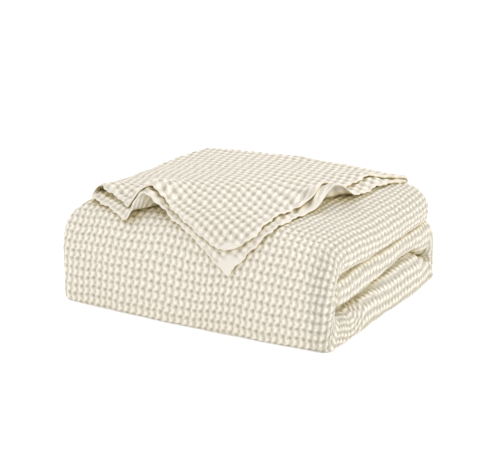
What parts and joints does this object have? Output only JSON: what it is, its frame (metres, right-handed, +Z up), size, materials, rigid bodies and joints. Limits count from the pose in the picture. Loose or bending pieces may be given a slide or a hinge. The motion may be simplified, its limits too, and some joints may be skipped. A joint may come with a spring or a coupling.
{
  "type": "blanket",
  "caption": "Folded waffle weave cotton blanket in cream, in thirds, with one loose corner laid over the top and down the front",
  "frame": {"origin": "centre of the blanket's box, on the surface it rests on", "axes": "+X along the front wall, to the right as the picture sees it; +Y to the back; +Z up"},
  "size_m": [0.4024, 0.3602, 0.1682],
  "materials": {
    "cotton": "matte"
  },
  "bodies": {
    "root": {"blanket": "cotton"}
  },
  "joints": []
}
